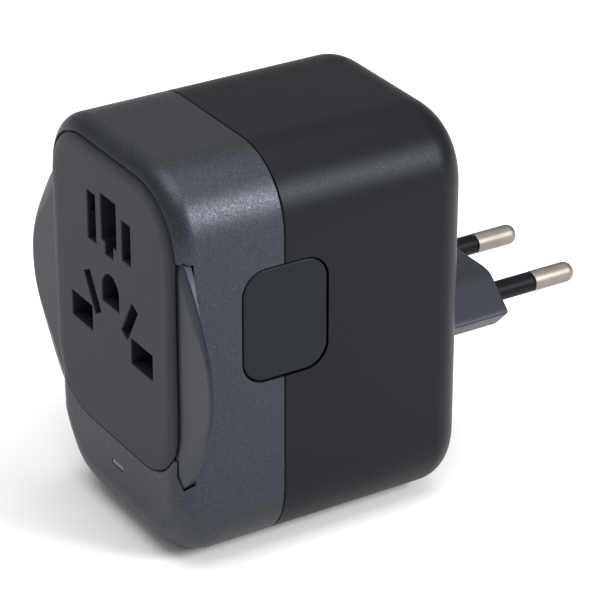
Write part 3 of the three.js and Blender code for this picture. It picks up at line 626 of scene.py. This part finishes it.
# ----------------------------------------------------------- selector wheel
def wheel_at(t):
    d = abs((math.degrees(t) + 90) % 180 - 90)
    r = WHEEL_R + (EAR * math.cos(math.radians(d / EAR_DEG * 90)) ** 2 if d < EAR_DEG else 0.0)
    return r * math.cos(t), r * math.sin(t)


WHEEL_OUT = []
for i in range(240):
    t = i / 240 * 2 * math.pi
    (ax, az), (x, z), (bx, bz) = wheel_at(t - 0.002), wheel_at(t), wheel_at(t + 0.002)
    length = math.hypot(bx - ax, bz - az)
    WHEEL_OUT.append((x, WHEEL_Z + z, (bz - az) / length, -(bx - ax) / length))
WHEEL_T = WHEEL_Y1 - WHEEL_Y0
def ear_deg(q):
    return math.degrees(math.asin(min(1.0, abs(q[1] - WHEEL_Z) / math.hypot(q[0], q[1] - WHEEL_Z))))


def ear_thin(q):
    return 1 - smooth(24, 44, ear_deg(q))


def rim_drop(q):
    return 0.6 + (RIM_DROP - 0.6) * smooth(8, 30, ear_deg(q))


def rim_t(q):
    return max(EAR_RIM + (WHEEL_T - 0.05 - EAR_RIM) * (1 - ear_thin(q)), rim_drop(q) + 0.08)


def front_ring(a, b):
    def y(q):
        w = 0.6 * smooth(8, 30, ear_deg(q))
        return WHEEL_Y0 + rim_drop(q) * (b * (1 - w) + (1 - a) * w)
    return inset(WHEEL_OUT, lambda q: a * (1.2 + (RIM_SLOPE - 1.2) * smooth(8, 30, ear_deg(q))), y)


rings = []
for k in range(11):
    t = k / 10 * math.pi / 2
    rings.append(front_ring(1 - math.sin(t), 1 - math.cos(t)))
rings.append(inset(WHEEL_OUT, 0, lambda q: WHEEL_Y0 + rim_t(q)))
rings.append(inset(WHEEL_OUT, lambda q: 0.1 + (RIM_SLOPE - 0.1) * ear_thin(q), WHEEL_Y1))
wheel = loft("selector_wheel_visual", rings)
KEYWAY = KEY_HALF + TURN + 0.8
cut(wheel, prism_y("c", circle(0, WHEEL_Z, WHEEL_BORE, 96), 0, 5),
    prism_y("c", sector(0, KEY_R + 0.3, -KEYWAY, KEYWAY, 32), 0, 5),
    prism_y("c", sector(27.3, 29.7, 158, 202, 24), 0, 5),
    prism_y("c", sector(25.75, 28.25, 127, 163, 20), WHEEL_Y1 - 0.5, 5))
finish_piece(wheel, WHEELM, "selector", ["selector_wheel"])

# ----------------------------------------------------------- release button
y0, y1, z0, z1, r = BTN
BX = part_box("release_button")[1][0] * 1000
rings = []
for d, x in ((-1.1, BX - 3.6), (-1.1, BX - 2.1), (0, BX - 2.1), (0, BX - 0.42)):
    rings.append([(x, y, z) for y, z in round_rect(y0 + d, y1 - d, z0 + d, z1 - d, max(r - d, 0.5), 14)])
for k in range(1, 8):
    a = k / 7 * math.pi / 2
    d = 0.42 * (1 - math.cos(a))
    rings.append([(BX - 0.42 + 0.42 * math.sin(a) - 0.02, y, z) for y, z in round_rect(y0 + d, y1 - d, z0 + d, z1 - d, r - d, 14)])
button = loft("release_button_visual", rings)
finish_piece(button, BUTTON, "release", ["release_button"])

# ------------------------------------------------------------ round-pin plug
rings = []
tight = grown_from(EU_PTS, 30.7, -0.15)
rings.append([(x * 0.955, 44.0, 25.4 + (z - 25.4) * 0.86) for x, z in EU_PTS])
rings.append([(x * 0.955, 58.9, 25.4 + (z - 25.4) * 0.86) for x, z in EU_PTS])
rings.append([(x, 58.95, z) for x, z in EU_PTS])
rings.append([(x, EU_FACE - 0.45, z) for x, z in EU_PTS])
for k in range(1, 6):
    a = k / 5 * math.pi / 2
    rings.append([(x, EU_FACE - 0.45 + 0.45 * math.sin(a), z) for x, z in grown_from(EU_PTS, 30.7, -0.45 * (1 - math.cos(a)))])
block = loft("eu_plug_block_visual", rings)
cut(block, prism_y("c", circle(-EU_X, EU_Z, 1.5, 40), 65.7, 77), prism_y("c", circle(EU_X, EU_Z, 1.5, 40), 65.7, 77))
finish_piece(block, PLUG, "eu_carriage", ["eu_plug_block"], angle=24)

for s, side in ((-1, "left"), (1, "right")):
    prof = [(0, 66), (1.2, 66), (1.2, 85.0), (1.9, 85.0), (2.0, 85.12)]
    prof += [(2.0, TIP_Y - 1.75)]
    for k in range(1, 12):
        a = k / 11 * math.pi / 2
        prof.append((0.45 + 1.55 * math.cos(a), TIP_Y - 1.75 + 1.75 * math.sin(a)))
    prof.append((0, TIP_Y))
    pin = lathe_y(f"eu_pin_{side}_visual", prof, s * EU_X, EU_Z, 56)
    finish_piece(pin, NICKEL, "eu_carriage", [f"eu_pin_{side}"], angle=40)
    sl = lathe_y(f"eu_sleeve_{side}_visual", [(1.95, EU_FACE + 0.3), (1.95, 84.55), (1.8, 84.7), (1.3, 84.7), (1.3, EU_FACE + 0.3)], s * EU_X, EU_Z, 56)
    finish_piece(sl, SLEEVE, "eu_carriage", [f"eu_sleeve_{side}"], angle=40)

# --------------------------------------------------------------- status light
led = loft("led_light_pipe_visual", [
    [(x, FRONT_Y + 0.02, z) for x, z in capsule(1.95, 0.35)],
    [(x, FRONT_Y + 0.06, z) for x, z in capsule(2.1, 0.48)],
    [(x, FRONT_Y + 0.2, z) for x, z in capsule(2.2, 0.55)],
    [(x, 7.5, z) for x, z in capsule(2.2, 0.55)]])
finish_piece(led, LEDM, "casing", ["led_light_pipe"], angle=50)

# ------------------------------------- CAD pieces that stay, with a finish
KEPT = {
    "detent_ball": STEEL, "detent_spring": STEEL, "socket_shutter": INNER, "shutter_spring": STEEL,
    "contact_carrier": INNER, "line_contact": BRASS, "neutral_contact": BRASS, "earth_contact": BRASS,
    "line_bus_bar": BRASS, "neutral_bus_bar": BRASS, "carriage_frame": INNER,
    "eu_slide_knob": BUTTON, "uk_slide_knob": BUTTON, "us_slide_knob": BUTTON,
    "uk_plug_plate": INNER, "uk_line_pin": NICKEL, "uk_neutral_pin": NICKEL, "uk_earth_pin": NICKEL,
    "us_plug_plate": INNER, "us_line_blade": NICKEL, "us_neutral_blade": NICKEL,
    "latch_plate": STEEL, "button_spring": STEEL, "main_board": BOARD, "usb_a_port": NICKEL_Z,
    "usb_a_tongue": LIGHTP, "usb_c_port_1": NICKEL_Z, "usb_c_port_2": NICKEL_Z, "transformer": TAPE,
    "capacitor_1": SLEEVE, "capacitor_2": SLEEVE, "fuse": NICKEL_Z, "fuse_cap": BUTTON,
    "status_led": LIGHTP, "led_board": BOARD,
}
for i in range(1, 5):
    KEPT[f"panel_screw_{i}"] = STEEL
    KEPT[f"case_screw_{i}"] = STEEL
for name, m in KEPT.items():
    ob = NODES[name]
    if not ob.data.materials:
        ob.data.materials.append(m)
    for sl in ob.material_slots:
        sl.material = m

# -------------------------------------------------------- floor, light, camera
scene = bpy.context.scene
scene.view_settings.view_transform = "Standard"
scene.view_settings.look = "None"
scene.view_settings.exposure = 0.0
scene.view_settings.gamma = 1.0

me = bpy.data.meshes.new("floor")
me.from_pydata([(-4, -4, -0.0001), (4, -4, -0.0001), (4, 4, -0.0001), (-4, 4, -0.0001)], [], [(0, 1, 2, 3)])
floor = bpy.data.objects.new("floor", me)
scene.collection.objects.link(floor)
fm = Nodes("floor_pale")
fm.b.inputs["Base Color"].default_value = (0.93, 0.93, 0.93, 1)
fm.b.inputs["Roughness"].default_value = 0.9
fm.b.inputs["Specular IOR Level"].default_value = 0.1
me.materials.append(fm.m)

world = bpy.data.worlds.new("studio")
scene.world = world
world.use_nodes = True
bg = world.node_tree.nodes["Background"]
bg.inputs["Color"].default_value = (1.0, 1.0, 1.0, 1)
bg.inputs["Strength"].default_value = 0.49


def area(name, loc, target, size, power, size_y=None):
    ld = bpy.data.lights.new(name, "AREA")
    ld.energy = power
    ld.shape = "RECTANGLE"
    ld.size = size
    ld.size_y = size_y or size
    ob = bpy.data.objects.new(name, ld)
    ob.location = loc
    ob.rotation_mode = "QUATERNION"
    ob.rotation_quaternion = (Vector(target) - Vector(loc)).to_track_quat("-Z", "Y")
    scene.collection.objects.link(ob)
    return ob


area("key_back_right", (0.68, 0.40, 0.50), (0, -0.01, 0.05), 0.30, 8.5, 0.36)
area("fill_top", (0.0, -0.05, 1.2), (0, 0, 0.0), 1.15, 14.0)

cam_data = bpy.data.cameras.new("camera")
cam = bpy.data.objects.new("camera", cam_data)
scene.collection.objects.link(cam)
scene.camera = cam
cam_data.sensor_width = 36.0
cam_data.lens = 177.16
cam_data.clip_start = 0.01
cam_data.clip_end = 20.0
R = ((0.5231090547, 0.8522645867, 0.0014110978),
     (0.3923543794, -0.2393516031, -0.8881265963),
     (-0.7565810981, 0.4651407147, -0.4595967338))
ax, ay, az = Vector(R[0]), -Vector(R[1]), -Vector(R[2])
eye = at(412.714, -214.391, 226.311 + US_Z)
cam.matrix_world = Matrix((
    (ax.x, ay.x, az.x, eye.x), (ax.y, ay.y, az.y, eye.y), (ax.z, ay.z, az.z, eye.z), (0, 0, 0, 1)))

bpy.context.view_layer.update()
